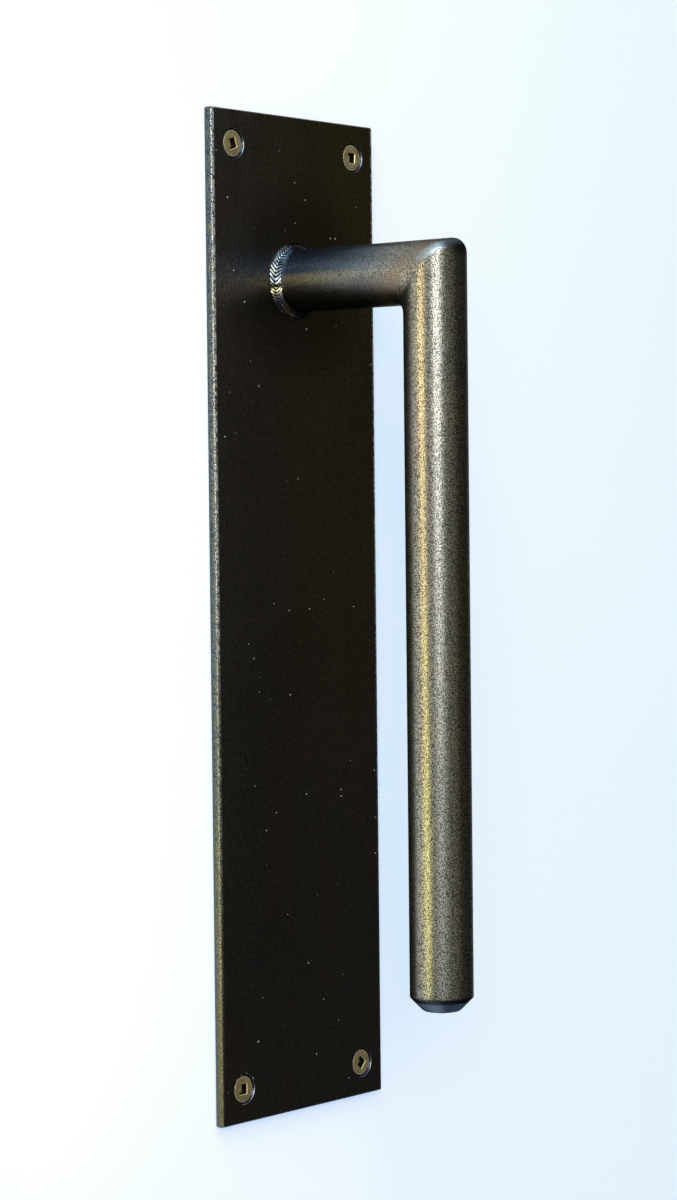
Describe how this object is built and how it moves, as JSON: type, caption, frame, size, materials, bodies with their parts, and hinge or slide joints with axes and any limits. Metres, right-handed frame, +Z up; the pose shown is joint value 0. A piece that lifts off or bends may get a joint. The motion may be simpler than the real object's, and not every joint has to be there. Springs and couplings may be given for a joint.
{
  "type": "door pull",
  "caption": "Door pull: a round steel grip on a mitred stand-off arm, welded to a tall flat plate that screws to the face of a door through countersunk holes.",
  "frame": {"origin": "centre of the plate's back face, which lies on the door", "axes": "+Z up along the plate's length, +Y into the door along the screws, +X to the right seen from the front"},
  "size_m": [0.0762, 0.0957, 0.3048],
  "materials": {
    "plate_steel": "hot-rolled mill scale, oiled and waxed, rubbed bare along its rolled edges",
    "bar_steel": "blackened round bar, rubbed back and waxed, with a fine pitted grain",
    "weld_metal": "rippled weld bead, wire-brushed",
    "screw_steel": "dull bronze plating"
  },
  "bodies": {
    "root": {"back_plate": "plate_steel", "standoff_arm": "bar_steel", "grip_bar": "bar_steel", "mitre_weld": "bar_steel", "foot_weld": "weld_metal", "mounting_screws": "screw_steel"}
  },
  "joints": []
}
